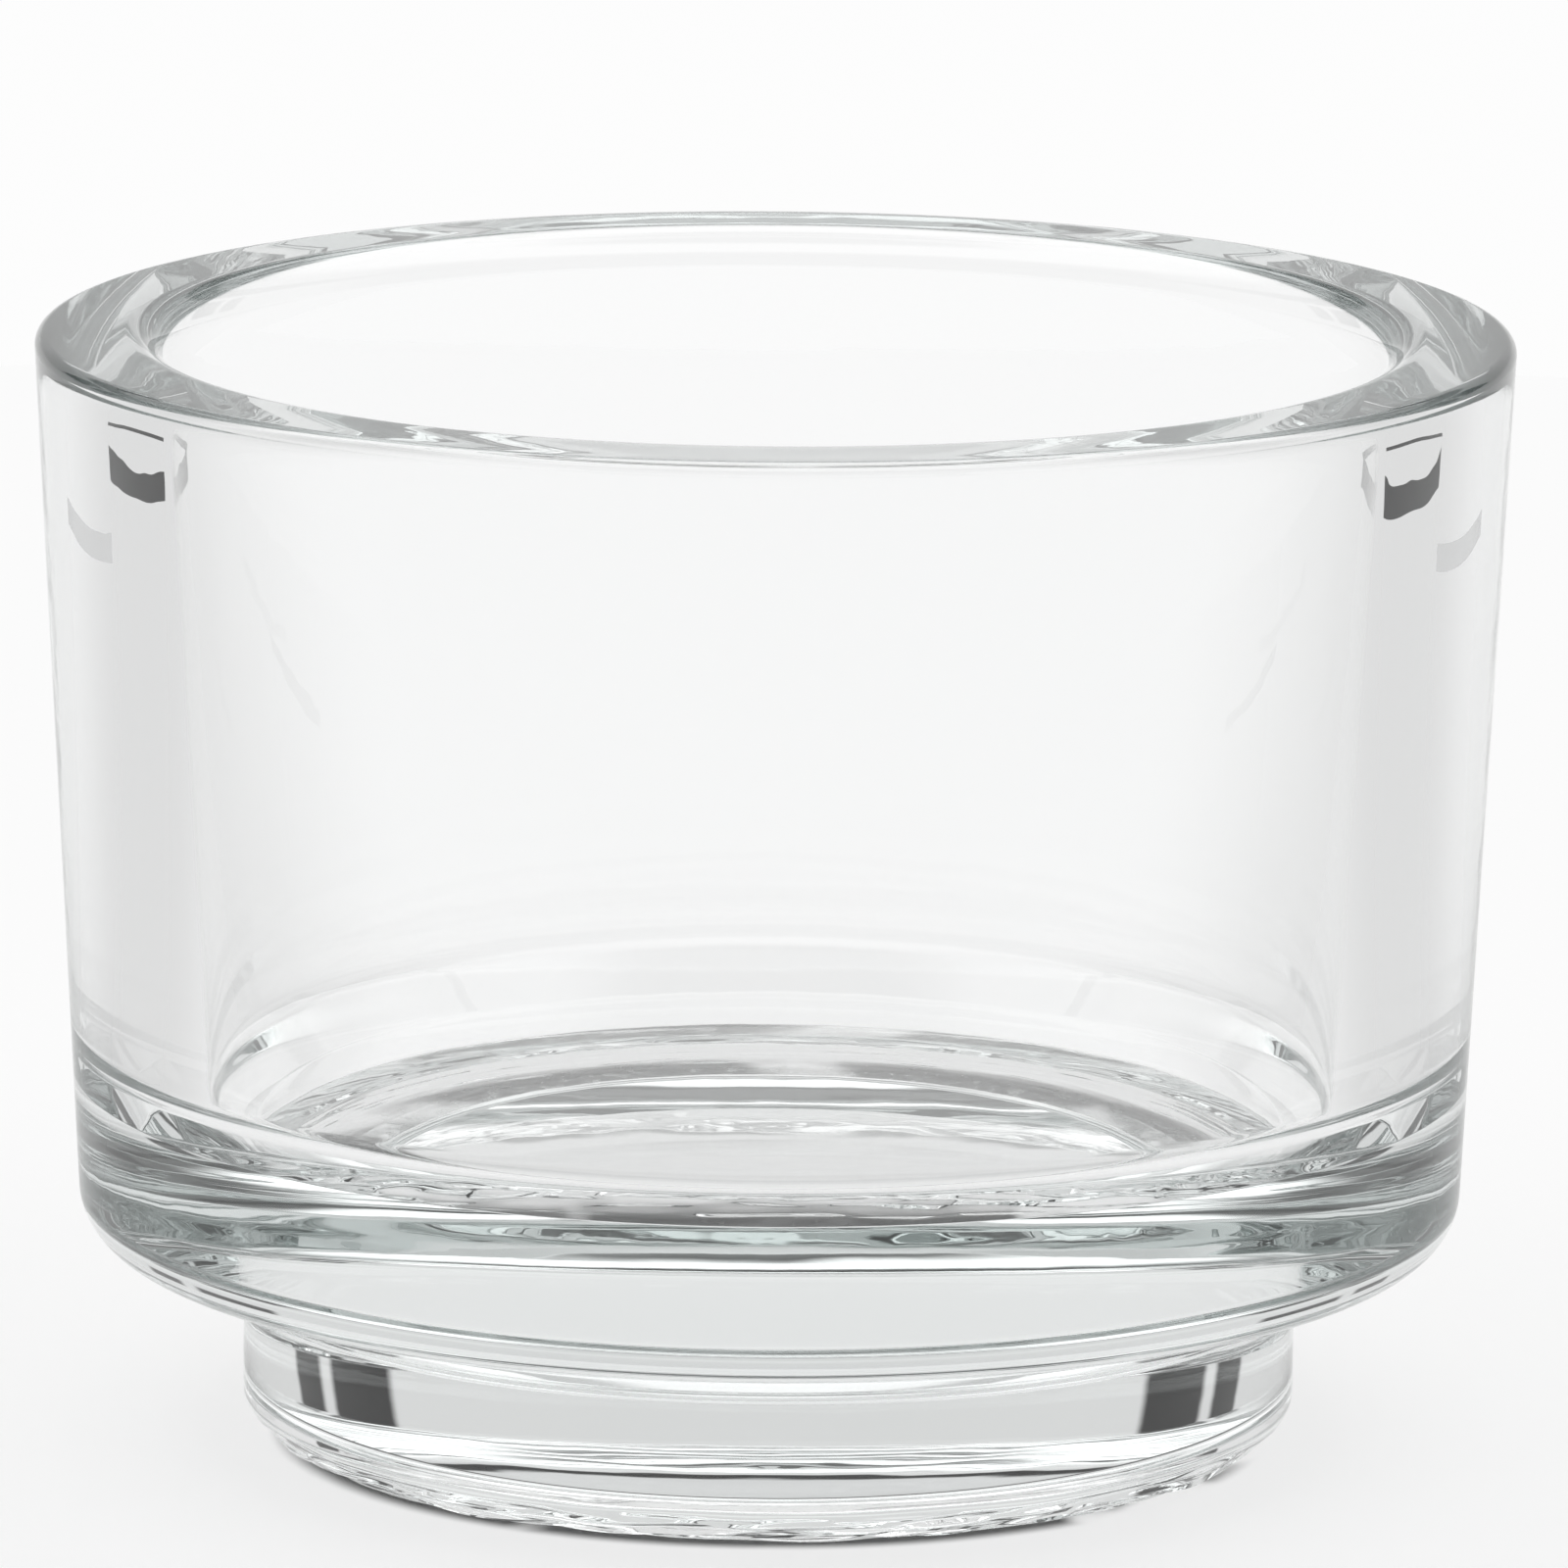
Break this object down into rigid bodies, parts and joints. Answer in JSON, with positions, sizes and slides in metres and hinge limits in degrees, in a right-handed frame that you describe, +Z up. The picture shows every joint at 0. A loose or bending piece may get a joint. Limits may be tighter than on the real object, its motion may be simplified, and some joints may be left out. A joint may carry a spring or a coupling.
{
  "type": "tealight holder",
  "caption": "Clear pressed-glass tealight holder: a thick-walled, slightly flared round bowl on a low round foot.",
  "frame": {"origin": "centre of the resting ring, in the plane that stands on the table", "axes": "+Z up along the axis of revolution; X and Y are free, because the holder is round"},
  "size_m": [0.09, 0.09, 0.0685],
  "materials": {
    "clear_glass": "clear fire-polished pressed soda-lime glass"
  },
  "bodies": {
    "root": {"glass_holder": "clear_glass"}
  },
  "joints": []
}
